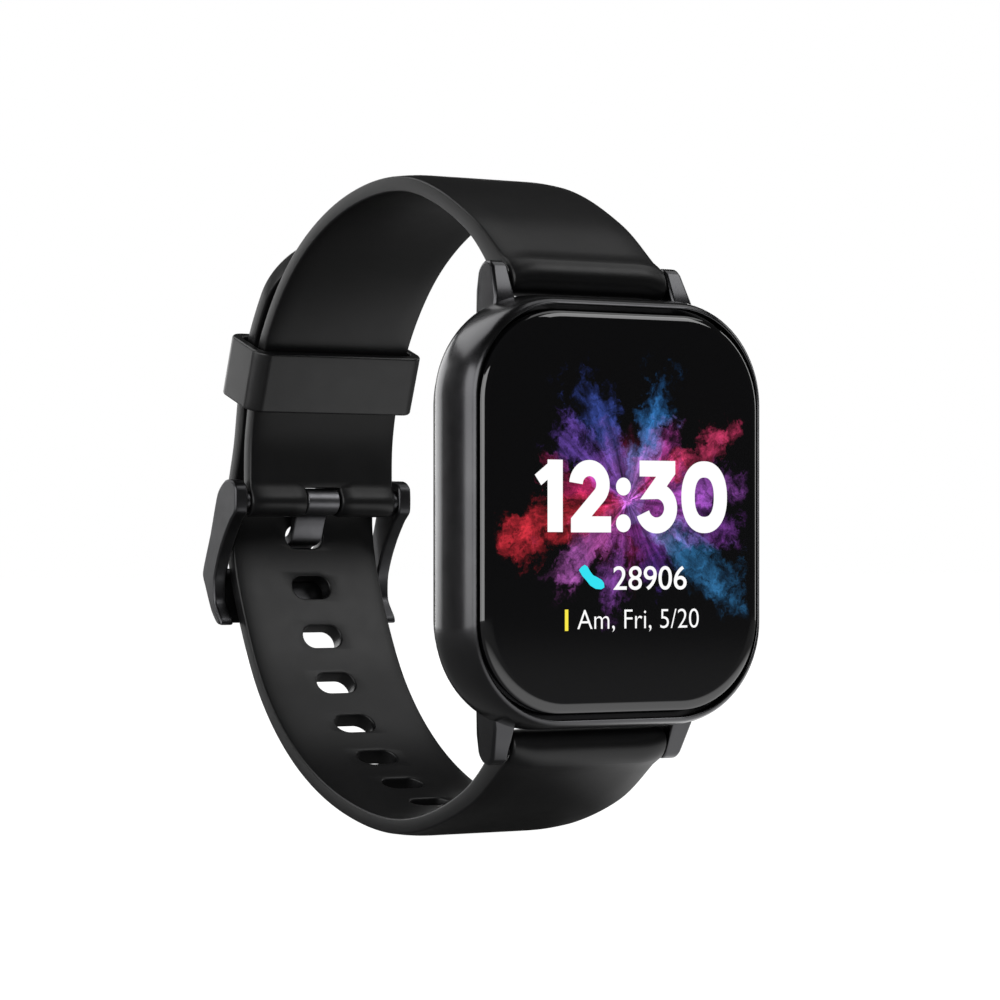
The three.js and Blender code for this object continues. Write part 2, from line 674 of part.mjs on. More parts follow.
// The cover, and what is fixed in it.
const rear = subassembly(0, 0, 0);
add(rear, "cover_gasket", coverGasket(), "seal");
add(rear, "back_cover", backCover(), "plastic");
const windowMiddle = COVER_BACK - 0.18 + SENSOR_WINDOW.height / 2;
add(rear, "sensor_window", sensorWindow(), "glass", 0, windowMiddle, 0);
add(rear, "sensor_board", post(6.4, -0.35, 0.35, 28), "board", 0, -29.95, 0);
for (const [row, z] of [["top", SCREW_Z], ["bottom", -SCREW_Z]]) {
  for (const [side, x] of [["left", -SCREW_X], ["right", SCREW_X]]) {
    add(rear, `cover_screw_${row}_${side}`, coverScrew(), "steel", x, COVER_BACK - 0.53, z);
  }
}
for (const [side, x] of [["left", -CHARGE_PIN.x], ["right", CHARGE_PIN.x]]) {
  add(rear, `charge_pin_${side}`, chargePin(), "gold", x, COVER_BACK + 0.08, CHARGE_PIN.z);
}

// The side button, on its own axis.
const key = subassembly(0, BUTTON.y, BUTTON.z);
add(key, "button_cap", buttonCap(), "satin_case", BUTTON.x, 0, 0);
const springFrom = BUTTON_POCKET.floor + 0.12;
add(key, "button_spring", coil(1.0, 0.1, 0, 0.86, 2), "steel", springFrom, 0, 0);
const sealRing = new THREE.TorusGeometry(1.0, 0.2, 6, 14).rotateY(Math.PI / 2);
add(key, "button_seal", sealRing, "seal", 16.5, 0, 0);
add(key, "tact_switch", box(2.2, 2.4, 3.2), "plastic", 14.2, 0.4, 0);

// The two spring bars, each on its own axis.
for (const [end, z] of [["upper", BAR_Z], ["lower", -BAR_Z]]) {
  const springBar = subassembly(0, BAR_Y, z);
  add(springBar, `${end}_bar_tube`, barTube(), "steel");
  add(springBar, `${end}_bar_spring`, coil(0.38, 0.08, -6.75, 6.75, 8), "steel");
  add(springBar, `${end}_bar_tip_right`, barTip(), "steel");
  add(springBar, `${end}_bar_tip_left`, barTip(), "steel").rotation.y = Math.PI;
}

// The band, and the buckle that closes it.
const band = subassembly(0, 0, 0);
add(band, "buckle_strap", buckleStrap(), "silicone");
add(band, "hole_strap", holeStrap(), "silicone");
const keeperStation = station(BUCKLE_STRAP_LINE, KEEPER_SHARE);
add(band, "keeper", toStation(keeper(), keeperStation), "silicone");
add(band, "buckle_frame", buckleFrame(), "black_metal");
add(band, "buckle_tongue", buckleTongue(), "black_metal");
const pin = rod(PIN_RADIUS, -ARM_OUTER + 0.1, ARM_OUTER - 0.1);
add(band, "buckle_pin", pin, "black_metal", 0, PIN_Y, PIN_Z);

export default watch;
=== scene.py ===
# A black smartwatch with its band buckled shut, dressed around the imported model. The watch's sizes are in
# millimetres, which MM or to_metres turns to metres, and the studio's are in metres.
import json
import math

import bmesh
import bpy
from mathutils import Matrix, Vector


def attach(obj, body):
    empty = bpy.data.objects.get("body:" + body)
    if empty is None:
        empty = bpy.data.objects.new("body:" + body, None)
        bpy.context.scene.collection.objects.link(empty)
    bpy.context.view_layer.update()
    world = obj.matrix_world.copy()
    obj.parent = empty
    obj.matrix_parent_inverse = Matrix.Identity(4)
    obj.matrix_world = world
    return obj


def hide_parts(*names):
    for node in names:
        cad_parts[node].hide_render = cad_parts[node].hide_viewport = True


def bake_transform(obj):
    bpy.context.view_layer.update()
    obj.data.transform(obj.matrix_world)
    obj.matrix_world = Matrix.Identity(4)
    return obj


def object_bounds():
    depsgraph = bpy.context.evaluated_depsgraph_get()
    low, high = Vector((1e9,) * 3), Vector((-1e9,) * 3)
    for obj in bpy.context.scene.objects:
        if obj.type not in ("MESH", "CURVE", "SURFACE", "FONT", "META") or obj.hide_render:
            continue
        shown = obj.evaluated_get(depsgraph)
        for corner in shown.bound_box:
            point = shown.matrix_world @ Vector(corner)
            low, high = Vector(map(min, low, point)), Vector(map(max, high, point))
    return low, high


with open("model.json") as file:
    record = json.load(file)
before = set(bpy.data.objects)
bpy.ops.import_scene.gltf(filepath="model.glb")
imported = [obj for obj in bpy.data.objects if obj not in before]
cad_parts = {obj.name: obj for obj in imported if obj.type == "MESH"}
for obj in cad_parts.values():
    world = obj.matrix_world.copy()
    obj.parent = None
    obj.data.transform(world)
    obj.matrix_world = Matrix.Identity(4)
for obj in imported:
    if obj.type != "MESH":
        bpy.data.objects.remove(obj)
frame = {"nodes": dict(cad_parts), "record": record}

cad_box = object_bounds()

# ---- Studio ----
# A pale floor under the band, a white backdrop, and soft boxes above, at both sides and behind.
# The camera stands level with the case, about a third of a right angle round from the display.

MM = 0.001
WHITE = (1, 1, 1, 1)
VIEW_TURN = math.radians(32.16)
studio = bpy.context.scene
studio.view_settings.view_transform = "Standard"

camera_data = bpy.data.cameras.new("studio_camera")
camera_data.sensor_width = 36
camera_data.lens = 124.2
camera_data.shift_x = 0.0297
camera_data.shift_y = 0.0474
camera_data.clip_start = 0.01
studio_camera = bpy.data.objects.new("studio_camera", camera_data)
studio_camera.location = (-209.06 * MM, -340.46 * MM, -3.715 * MM)
studio_camera.rotation_euler = (math.pi / 2, 0, -VIEW_TURN)
studio.collection.objects.link(studio_camera)
studio.camera = studio_camera


def soft_box(name, place, size, glow, aim=(0, 0, 0)):
    """A lit panel facing the watch; its glow is what a perfect mirror would show of it."""
    light = bpy.data.lights.new(name, "AREA")
    light.shape = "RECTANGLE"
    light.size, light.size_y = size
    light.energy = glow * math.pi * size[0] * size[1]
    lamp = bpy.data.objects.new(name, light)
    lamp.location = place
    lamp.rotation_euler = (Vector(aim) - Vector(place)).to_track_quat("-Z", "Y").to_euler()
    studio.collection.objects.link(lamp)


soft_box("box_above", (0.28, -0.06, 0.55), (0.45, 0.45), 1.0)
soft_box("box_high_front", (0.43, -0.46, 0.50), (0.34, 0.30), 3.0)
soft_box("box_left", (-0.60, 0.08, 0.04), (0.48, 0.60), 3.0)
soft_box("box_front_left", (-0.46, -0.39, 0.03), (0.50, 0.60), 3.2)
soft_box("box_right", (0.60, 0.02, 0.05), (0.16, 0.60), 1.8)
soft_box("box_behind", (0.36, 0.60, 0.04), (0.34, 0.30), 2.6)
soft_box("box_behind_left", (-0.08, 0.67, 0.04), (0.54, 0.50), 2.2)
soft_box("box_high_left", (-0.18, 0.40, 0.50), (0.40, 0.40), 2.0)


class Nodes:
    """The node tree of a material or a world, with short ways to add and join its nodes."""

    def __init__(self, owner, clear=True):
        owner.use_nodes = True
        self.tree = owner.node_tree
        if clear:
            self.tree.nodes.clear()

    def node(self, kind, **inputs):
        made = self.tree.nodes.new(kind)
        for key, value in inputs.items():
            self.put(made.inputs[key.replace("_", " ")], value)
        return made

    def put(self, socket, value):
        if isinstance(value, bpy.types.NodeSocket):
            self.tree.links.new(value, socket)
        else:
            socket.default_value = value

    def sum_of(self, kind, operation, *inputs):
        made = self.node(kind)
        made.operation = operation
        for socket, value in zip(made.inputs, inputs):
            self.put(socket, value)
        return made.outputs

    def maths(self, operation, *inputs):
        return self.sum_of("ShaderNodeMath", operation, *inputs)[0]

    def blended(self, operation, *inputs):
        """A sum on whole vectors or colours."""
        return self.sum_of("ShaderNodeVectorMath", operation, *inputs)[0]

    def gauged(self, operation, *inputs):
        """A number measured from vectors."""
        return self.sum_of("ShaderNodeVectorMath", operation, *inputs)["Value"]

    def soft_step(self, value, low, high, start=0.0, end=1.0):
        made = self.node("ShaderNodeMapRange", Value=value, From_Min=low, From_Max=high)
        self.put(made.inputs["To Min"], start)
        self.put(made.inputs["To Max"], end)
        made.interpolation_type = "SMOOTHSTEP"
        return made.outputs["Result"]

    def camera_ray(self):
        return self.node("ShaderNodeLightPath").outputs["Is Camera Ray"]


# The backdrop is white to the eye and nearly dark in reflections, where only the soft boxes show.
backdrop = bpy.data.worlds.new("backdrop")
studio.world = backdrop
sky = Nodes(backdrop)
seen = sky.node("ShaderNodeBackground", Color=WHITE, Strength=1.0)
mirrored = sky.node("ShaderNodeBackground", Color=WHITE, Strength=0.035)
choice = sky.node("ShaderNodeMixShader")
for socket, value in zip(choice.inputs, (sky.camera_ray(), mirrored.outputs[0], seen.outputs[0])):
    sky.put(socket, value)
sky.node("ShaderNodeOutputWorld", Surface=choice.outputs[0])

# The floor is white to the eye too, and shines in reflections only in a pool beside the watch.
floor_height = cad_box[0][2]
floor_mesh = bmesh.new()
bmesh.ops.create_grid(floor_mesh, x_segments=1, y_segments=1, size=3)
bmesh.ops.translate(floor_mesh, verts=floor_mesh.verts, vec=(0, 0, floor_height - 0.4 * MM))
floor_data = bpy.data.meshes.new("floor")
floor_mesh.to_mesh(floor_data)
floor_mesh.free()
floor = bpy.data.objects.new("floor", floor_data)
studio.collection.objects.link(floor)
paper = bpy.data.materials.new("white_paper")
sheet = Nodes(paper)
spot = sheet.node("ShaderNodeTexCoord").outputs["Object"]
pool = sheet.soft_step(sheet.gauged("DISTANCE", spot, (0.03, -0.04, floor_height)), 0.05, 0.13, 1.0, 0.0)
side_lit = sheet.soft_step(sheet.gauged("DOT_PRODUCT", spot, (0.9, -1, 0)), 0.027, 0.045, 0.0, 1.1)
lit_pool = sheet.maths("MULTIPLY_ADD", pool, side_lit, 0.03)
level = sheet.node("ShaderNodeMix", Factor=sheet.camera_ray(), A=lit_pool, B=1.0)
paper_glow = sheet.node("ShaderNodeEmission", Strength=level.outputs["Result"])
paper_matt = sheet.node("ShaderNodeBsdfDiffuse", Color=(0.2, 0.2, 0.2, 1))
both = sheet.node("ShaderNodeAddShader")
for socket, shader in zip(both.inputs, (paper_glow, paper_matt)):
    sheet.put(socket, shader.outputs[0])
sheet.node("ShaderNodeOutputMaterial", Surface=both.outputs[0])
floor_data.materials.append(paper)

# ---- Case ----
# A one-piece black coated metal ring with soft round sides. A groove runs between its rim and the glass.
# It is milled, blasted fine and coated, so it keeps a faint orange peel under a semi-gloss skin.

CASE_HALF = Vector((19.2, 23.1))
CASE_CORNER = 11.6
CASE_EQUATOR = -33.2
BUTTON_HALF = 2.9
BUTTON_RADIUS = 1.3
BUTTON_DEPTH, BUTTON_HEIGHT = -33.0, 7.5
POCKET_PLAY = 0.15
SHARP_TURN = 1.0  # radians that two faces turn at an edge that gets rounded


class Finish(Nodes):
    """A new material with its Principled shader, and the patterns that finishes share."""

    def __init__(self, name):
        self.material = bpy.data.materials.new(name)
        super().__init__(self.material, clear=False)
        self.shader = self.tree.nodes["Principled BSDF"]
        self.place = self.node("ShaderNodeTexCoord").outputs["Object"]

    def set(self, **inputs):
        for key, value in inputs.items():
            self.put(self.shader.inputs[key.replace("_", " ")], value)

    def noise(self, size, detail=3, rough=0.5):
        """Noise whose features are about this many metres across, from 0 to 1."""
        return self.noise_at(self.place, 1 / size, detail, rough)

    def noise_at(self, where, scale, detail=4, rough=0.6):
        made = self.node("ShaderNodeTexNoise", Vector=where, Scale=scale, Detail=detail, Roughness=rough)
        return made.outputs["Fac"]

    def mottle(self, size, dark, light, low=0.3, high=0.7, detail=3):
        """A base colour that drifts between two shades, in spots about this many metres across."""
        made = self.node("ShaderNodeValToRGB", Fac=self.noise(size, detail))
        for element, position, colour in zip(made.color_ramp.elements, (low, high), (dark, light)):
            element.position = position
            element.color = (*colour, 1)
        self.set(Base_Color=made.outputs["Color"])

    def span(self, value, low, high):
        """Maps 0..1 to low..high."""
        return self.node("ShaderNodeMapRange", Value=value, To_Min=low, To_Max=high).outputs["Result"]

    def bump(self, height, depth, strength=1.0):
        made = self.node("ShaderNodeBump", Height=height, Distance=depth, Strength=strength)
        self.put(self.shader.inputs["Normal"], made.outputs["Normal"])


def coated_metal(name, dark, light, roughness, peel=0.35 * MM):
    finish = Finish(name)
    finish.mottle(6 * MM, dark, light)
    finish.set(Roughness=finish.span(finish.noise(1.5 * MM), roughness - 0.03, roughness + 0.05))
    finish.set(Metallic=1.0, Coat_Weight=0.3, Coat_Roughness=0.15)
    finish.bump(finish.noise(peel, 2), 0.004 * MM, 0.5)
    return finish.material


case_coating = coated_metal("case_coating", (0.050, 0.050, 0.053), (0.066, 0.066, 0.069), 0.24)


def weigh_normals(data, gentle=math.cos(math.radians(40))):
    """Shades round edges smoothly while large faces stay flat: each corner leans to its largest face."""
    around = [[] for _ in data.vertices]
    for face in data.polygons:
        for v in face.vertices:
            around[v].append((face.normal.copy(), face.area))
    corners = []
    for face in data.polygons:
        for v in face.vertices:
            near = [normal * area for normal, area in around[v] if normal.dot(face.normal) > gentle]
            corners.append(sum(near, Vector()).normalized())
    data.normals_split_custom_set(corners)


def piece(name, mesh, material, body, replaced=(), smooth=True):
    """Turns a bmesh into an object that rides on a body and may replace CAD nodes."""
    bmesh.ops.recalc_face_normals(mesh, faces=mesh.faces)
    data = bpy.data.meshes.new(name)
    mesh.to_mesh(data)
    mesh.free()
    if smooth:
        data.shade_smooth()
        if body:
            weigh_normals(data)
    made = bpy.data.objects.new(name, data)
    studio.collection.objects.link(made)
    data.materials.append(material)
    if body:
        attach(made, body)
    if replaced:
        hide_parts(*replaced)
    return made


def bevel(mesh, geom, offset, segments, affect="EDGES", clamp=False):
    bmesh.ops.bevel(
        mesh, geom=geom, offset=offset, segments=segments, profile=0.5, affect=affect, material=-1,
        clamp_overlap=clamp,
    )


def new_verts(geom):
    return [v for v in geom if isinstance(v, bmesh.types.BMVert)]


def edges_along(mesh, axis):
    """The straight edges of a block that run along one axis."""
    return [e for e in mesh.edges if abs(e.verts[0].co[axis] - e.verts[1].co[axis]) > 0.1]


def edges_across(mesh, axis, least=1e-6):
    """The edges that keep to one plane across an axis."""
    return [e for e in mesh.edges if abs(e.verts[0].co[axis] - e.verts[1].co[axis]) < least]


def rounded_face(mesh, half, corner, y, steps=16):
    """A face in the plane of the display: a rectangle with round corners."""
    corners = [mesh.verts.new((x * half.x, y, z * half.y)) for x, z in ((-1, -1), (1, -1), (1, 1), (-1, 1))]
    mesh.faces.new(corners)
    bevel(mesh, corners, corner, steps, "VERTICES")


def ring_from(mesh, edges, half, inset, y):
    """Draws a loop of edges out into the next ring: this far inside the half size, at this depth."""
    drawn = bmesh.ops.extrude_edge_only(mesh, edges=edges)["geom"]
    verts = new_verts(drawn)
    now = Vector((max(v.co.x for v in verts), max(v.co.z for v in verts)))
    wanted = Vector((half.x - inset, half.y - inset))
    bmesh.ops.scale(mesh, verts=verts, vec=(wanted.x / now.x, 1, wanted.y / now.y))
    bmesh.ops.translate(mesh, verts=verts, vec=(0, y - verts[0].co.y, 0))
    return [e for e in drawn if isinstance(e, bmesh.types.BMEdge)]


def block(size, place, corner=0.0, along="Z"):
    """A box; with a corner radius, the edges along one axis are rounded."""
    made = bmesh.new()
    bmesh.ops.create_cube(made, size=1)
    bmesh.ops.scale(made, verts=made.verts, vec=size)
    if corner:
        axis = "XYZ".index(along)
        bevel(made, edges_along(made, axis), corner, 8)
    bmesh.ops.translate(made, verts=made.verts, vec=place)
    return made


def rod(radius, start, end, y, z, sides=48):
    """A closed cylinder along X."""
    made = bmesh.new()
    turned = Matrix.Translation(((start + end) / 2, y, z)) @ Matrix.Rotation(math.pi / 2, 4, "Y")
    bmesh.ops.create_cone(
        made, cap_ends=True, segments=sides, radius1=radius, radius2=radius, depth=end - start, matrix=turned
    )
    return made


def merge(*meshes):
    """Puts several bmeshes into the first one."""
    whole = meshes[0]
    for other in meshes[1:]:
        spare = bpy.data.meshes.new("spare")
        other.to_mesh(spare)
        other.free()
        whole.from_mesh(spare)
        bpy.data.meshes.remove(spare)
    return whole


def carve(body, *tools, operation="DIFFERENCE"):
    """Cuts the tools out of a body and gives the rest as a bmesh."""
    shapes = []
    for name, mesh in (("carved", body), ("tool", merge(*tools))):
        bmesh.ops.recalc_face_normals(mesh, faces=mesh.faces)
        data = bpy.data.meshes.new(name)
        mesh.to_mesh(data)
        mesh.free()
        shapes.append(bpy.data.objects.new(name, data))
        studio.collection.objects.link(shapes[-1])
    cutter = shapes[0].modifiers.new("cut", "BOOLEAN")
    cutter.operation = operation
    cutter.solver = "EXACT"
    cutter.object = shapes[1]
    rest = bmesh.new()
    rest.from_mesh(shapes[0].evaluated_get(bpy.context.evaluated_depsgraph_get()).to_mesh())
    for shape in shapes:
        data = shape.data
        bpy.data.objects.remove(shape)
        bpy.data.meshes.remove(data)
    bmesh.ops.remove_doubles(rest, verts=rest.verts, dist=1e-4)
    return rest


def soften(mesh, offset, segments, chosen=lambda edge: True, angle=SHARP_TURN):
    """Rounds the sharp edges of a bmesh."""
    edges = [e for e in mesh.edges if e.calc_face_angle(0) > angle and chosen(e)]
    bevel(mesh, edges, offset, segments, clamp=True)


def to_metres(mesh):
    bmesh.ops.scale(mesh, verts=mesh.verts, vec=(MM, MM, MM))
    return mesh


def case_side(steps=14):
    """(inset, depth) pairs, from the groove over the rim and the round side to the back."""
    side = [(1.16, -37.0), (1.16, -38.02), (1.10, -38.12), (1.02, -38.15), (0.94, -38.12)]
    for i in range(1, steps + 1):
        turn = math.pi / 2 * i / steps
        side.append((0.92 * (1 - math.sin(turn)), CASE_EQUATOR - 4.86 * math.cos(turn)))
    for i in range(1, steps + 1):
        turn = math.pi / 2 * i / steps
        side.append((1.62 * (1 - math.cos(turn)), CASE_EQUATOR + 3.6 * math.sin(turn)))
    return side + [(1.75, -29.45), (2.1, -29.4), (2.4, -29.8), (2.9, -30.2), (2.9, -36.4)]


def pill(radius, near, far):
    """A rod with a stadium section, lying across at the side button's place."""
    made = block((far - near, 2 * radius, 2 * (BUTTON_HALF + radius)), (0, 0, 0))
    bevel(made, edges_along(made, 0), radius - 0.01, 12)
    bmesh.ops.translate(made, verts=made.verts, vec=((near + far) / 2, BUTTON_DEPTH, BUTTON_HEIGHT))
    return made


shell = bmesh.new()
profile = case_side()
inset, depth = profile[0]
rounded_face(shell, CASE_HALF - Vector((inset, inset)), CASE_CORNER - inset, depth, 20)
first_loop = loop = list(shell.edges)
bmesh.ops.delete(shell, geom=list(shell.faces), context="FACES_ONLY")
for inset, depth in profile[1:]:
    loop = ring_from(shell, loop, CASE_HALF, inset, depth)
bmesh.ops.bridge_loops(shell, edges=[*first_loop, *loop])
shell = carve(shell, pill(BUTTON_RADIUS + POCKET_PLAY, 18.0, 22.0))
piece("case_shell", to_metres(shell), case_coating, "case", ["mid_case"])

# ---- Side button ----
# A pill-shaped key of the same coated metal in a close pocket at the right of the case.
# Its face is flat with an eased rim, and it springs back when pressed.

key = pill(BUTTON_RADIUS, 18.6, 20.19)
soften(key, 0.28, 4, lambda e: min(v.co.x for v in e.verts) > 19)
piece("side_button", to_metres(key), case_coating, "button", ["button_cap"])

# ---- Lugs ----
# Four horns in one piece with the case, two at each end, that hold the spring bars. Their faces are
# milled flat and slope back, and their tips are round about the bar.

BAR_DEPTH, BAR_HEIGHT = -30.6, 25.4
LUG_MIDDLE = 11.28 * MM
LUG_WIDTH = 2.05 * MM
LUG_TIP = 1.5
LUG_FLARE = 0.7 * MM

for side, side_name in ((-1, "left"), (1, "right")):
    for end, end_name in ((-1, "lower"), (1, "upper")):
        horn = bmesh.new()
        outline = [(-33.2, 19.5), (-33.35, 22.9), (-31.9, 26.2)]
        for i in range(9):
            turn = math.radians(125 - 135 * i / 8)
            outline.append((BAR_DEPTH + LUG_TIP * math.cos(turn), BAR_HEIGHT + LUG_TIP * math.sin(turn)))
        outline += [(-29.2, 23.6), (-29.5, 19.5)]
        rim = [horn.verts.new((side * LUG_MIDDLE - LUG_WIDTH / 2, y * MM, end * z * MM)) for y, z in outline]
        horn.faces.new(rim)
        grown = bmesh.ops.extrude_face_region(horn, geom=list(horn.faces))["geom"]
        bmesh.ops.translate(horn, verts=new_verts(grown), vec=(LUG_WIDTH, 0, 0))
        bevel(horn, edges_across(horn, 0, 1e-7), 0.38 * MM, 4)
        for v in horn.verts:
            if side * v.co.x > LUG_MIDDLE:
                v.co.x += side * LUG_FLARE * min(1.0, max(0.0, (26.4 - abs(v.co.z) / MM) / 4.5))
        piece(f"lug_{end_name}_{side_name}", horn, case_coating, "case", ())

# ---- Cover glass ----
# Toughened glass, black-printed from behind, with a rounded edge. The lit display shows through it:
# a burst of coloured powder on black.

GLASS_HALF = Vector((17.85, 21.3))
GLASS_CORNER = 10.0
GLASS_FACE = -38.75
PICTURE_HALF = (16.6, 19.6)


class Powder(Finish):
    """The glass's finish, with the sums that its picture needs. Places in it are in millimetres."""

    def times(self, a, b):
        return self.maths("MULTIPLY", a, b)

    def plus(self, a, b):
        return self.maths("ADD", a, b)

    def fit(self, value, gain, shift):
        return self.maths("MULTIPLY_ADD", value, gain, shift)

    def vector(self, x, y, z):
        return self.node("ShaderNodeCombineXYZ", X=x, Y=y, Z=z).outputs[0]

    def grey(self, value):
        return self.vector(value, value, value)

    def plume(self, x, y, puffs, angle, length, width, spread, colour):
        """Colour of one cloud thrown out from the middle, in a direction, with ragged edges."""
        run, rise = math.cos(math.radians(angle)), math.sin(math.radians(angle))
        along = self.plus(self.times(x, run), self.times(y, rise))
        aside = self.plus(self.times(x, -rise), self.times(y, run))
        body = self.maths("DIVIDE", self.maths("ABSOLUTE", aside), self.fit(along, spread, width))
        body = self.maths("SUBTRACT", 1.0, body)
        fade = self.soft_step(along, length * 1.08, length * 0.45)
        root = self.soft_step(along, -2.5, 0.8)
        heap = self.times(self.times(body, fade), root)
        ragged = self.plus(heap, self.fit(puffs, 1.9, -1.15))
        dense = self.times(self.soft_step(ragged, 0.10, 0.75), self.soft_step(heap, 0.0, 0.25))
        return self.blended("MULTIPLY", colour, self.grey(dense))


powder = Powder("lit_glass")
powder.set(Base_Color=(0.003, 0.003, 0.0035, 1), IOR=1.5, Specular_IOR_Level=0.85)
powder.set(Roughness=powder.span(powder.noise(5 * MM), 0.02, 0.05))
spot = powder.node("ShaderNodeSeparateXYZ", Vector=powder.place).outputs
across = powder.fit(spot["X"], 1000, -0.4)
up = powder.fit(spot["Z"], 1000, -1.2)
drift_across = powder.noise_at(powder.vector(across, up, 0.0), 0.30, 4, 0.65)
drift_up = powder.noise_at(powder.vector(up, across, 7.0), 0.30, 4, 0.65)
blown_across = powder.plus(across, powder.fit(drift_across, 6.0, -3.0))
blown_up = powder.plus(up, powder.fit(drift_up, 6.0, -3.0))
bearing = powder.maths("ARCTAN2", up, across)
reach = powder.maths("SQRT", powder.plus(powder.times(across, across), powder.times(up, up)))
streak_place = powder.vector(
    powder.times(powder.maths("COSINE", bearing), 4.5),
    powder.times(powder.maths("SINE", bearing), 4.5),
    powder.times(reach, 0.14),
)
streaks = powder.noise_at(streak_place, 1.0, 4, 0.65)
grains = powder.noise_at(powder.vector(blown_across, blown_up, 0.0), 0.75, 8, 0.75)
puffs = powder.noise_at(powder.vector(blown_across, blown_up, 1.7), 0.33, 7, 0.7)
puffs = powder.plus(puffs, powder.times(powder.fit(streaks, 0.7, -0.35), 0.55))
total = (0.0, 0.0, 0.0)
# Each cloud has a direction in degrees, a length, a width at its root, a spread and a colour.
for cloud in (
    (112, 18.0, 2.0, 0.28, (0.05, 0.09, 0.42)),
    (138, 15.5, 1.5, 0.32, (0.22, 0.10, 0.62)),
    (68, 17.0, 1.9, 0.22, (0.04, 0.22, 0.60)),
    (50, 12.5, 2.0, 0.24, (0.40, 0.05, 0.30)),
    (28, 21.5, 1.4, 0.13, (0.72, 0.05, 0.16)),
    (12, 20.5, 1.9, 0.24, (0.32, 0.08, 0.46)),
    (-12, 18.5, 2.0, 0.24, (0.22, 0.05, 0.36)),
    (-34, 22.0, 1.7, 0.25, (0.03, 0.17, 0.38)),
    (-62, 12.5, 2.0, 0.24, (0.10, 0.04, 0.34)),
    (-105, 15.0, 1.7, 0.20, (0.26, 0.07, 0.40)),
    (-140, 16.0, 2.1, 0.30, (0.40, 0.10, 0.42)),
    (-165, 19.5, 2.1, 0.28, (0.70, 0.03, 0.05)),
    (165, 13.5, 1.8, 0.24, (0.50, 0.02, 0.12)),
):
    total = powder.blended("ADD", total, powder.plume(blown_across, blown_up, puffs, *cloud))
core = powder.soft_step(powder.plus(reach, powder.fit(puffs, -12.0, 6.0)), 9.0, 1.0)
core = powder.grey(powder.times(core, 0.5))
total = powder.blended("MULTIPLY_ADD", (0.55, 0.02, 0.14), core, total)
light = powder.times(powder.fit(streaks, 2.4, -0.62), powder.fit(grains, 3.0, -0.85))
light = powder.times(light, powder.fit(powder.soft_step(reach, 0.5, 6.5), 0.62, 0.38))
light = powder.maths("MAXIMUM", light, 0.0)
inside_x = powder.soft_step(powder.maths("ABSOLUTE", spot["X"]), PICTURE_HALF[0] * MM, 15.9 * MM)
inside_z = powder.soft_step(powder.maths("ABSOLUTE", spot["Z"]), PICTURE_HALF[1] * MM, 19.0 * MM)
on_face = powder.soft_step(spot["Y"], (GLASS_FACE + 0.05) * MM, (GLASS_FACE + 0.01) * MM)
window = powder.times(powder.times(inside_x, inside_z), on_face)
powder.set(Emission_Color=total, Emission_Strength=powder.times(powder.times(light, window), 1.35))

pane = bmesh.new()
rounded_face(pane, GLASS_HALF, GLASS_CORNER, -37.1, 20)
loop = list(pane.edges)
for i in range(9):
    turn = math.pi / 2 * i / 8
    rounding = (1.25 * (1 - math.cos(turn)) ** 1.1, GLASS_FACE + 0.75 * (1 - math.sin(turn)))
    loop = ring_from(pane, loop, GLASS_HALF, *rounding)
bmesh.ops.contextual_create(pane, geom=loop)
piece("cover_glass_pane", to_metres(pane), powder.material, "case", ["cover_glass"])

# ---- Watch face ----
# What the display shows over the burst: the time in thick strokes, a step count with a shoe beside it, and
# the date behind a yellow bar. Each lies flat on the glass and glows evenly, dot by dot.

LIT = GLASS_FACE - 0.03
SKIN = 0.015


def glowing(name, colour, power):
    """Light through the fine grid of a display's dots."""
    finish = Finish(name)
    dots = finish.node("ShaderNodeTexVoronoi", Vector=finish.place, Scale=1 / (0.09 * MM), Randomness=0.0)
    finish.set(Base_Color=(0.02, 0.02, 0.02, 1), Roughness=0.2, Emission_Color=(*colour, 1))
    finish.set(Emission_Strength=finish.span(dots.outputs["Distance"], power * 1.04, power * 0.94))
    return finish.material


lit_white = glowing("lit_white", (1.0, 1.0, 1.0), 1.0)


def stroke(name, points, width, closed=False):
    """A ribbon along a chain of [x, z] points, drawn on the glass."""
    ribbon = bmesh.new()
    chain = [ribbon.verts.new((x, LIT, z)) for x, z in points]
    for here, there in zip(chain, chain[1:]):
        ribbon.edges.new((here, there))
    if closed:
        ribbon.edges.new((chain[-1], chain[0]))
    drawn = bmesh.ops.extrude_edge_only(ribbon, edges=list(ribbon.edges))["geom"]
    bmesh.ops.translate(ribbon, verts=new_verts(drawn), vec=(0, SKIN, 0))
    made = piece(name, to_metres(ribbon), lit_white, "case", (), False)
    thick = made.modifiers.new("width", "SOLIDIFY")
    thick.thickness = width * MM
    thick.offset = 0
    thick.use_even_offset = True


def arc(x, z, radius, start, end, steps=28):
    """Points round a centre between two angles in degrees."""
    angles = [math.radians(start + (end - start) * i / steps) for i in range(steps + 1)]
    return [(x + radius * math.cos(a), z + radius * math.sin(a)) for a in angles]


def oval(x, z, half_x, half_z, steps=64, square=0.88):
    """A closed round loop, squarer than an ellipse."""
    made = []
    for i in range(steps):
        c, s = math.cos(2 * math.pi * i / steps), math.sin(2 * math.pi * i / steps)
        wide, high = math.copysign(abs(c) ** square, c), math.copysign(abs(s) ** square, s)
        made.append((x + half_x * wide, z + half_z * high))
    return made


def sign(name, outline, material):
    """A flat closed figure of [x, z] points on the glass."""
    made = bmesh.new()
    made.faces.new([made.verts.new((x, LIT, z)) for x, z in outline])
    grown = bmesh.ops.extrude_face_region(made, geom=list(made.faces))["geom"]
    bmesh.ops.translate(made, verts=new_verts(grown), vec=(0, SKIN, 0))
    piece(name, to_metres(made), material, "case", (), False)


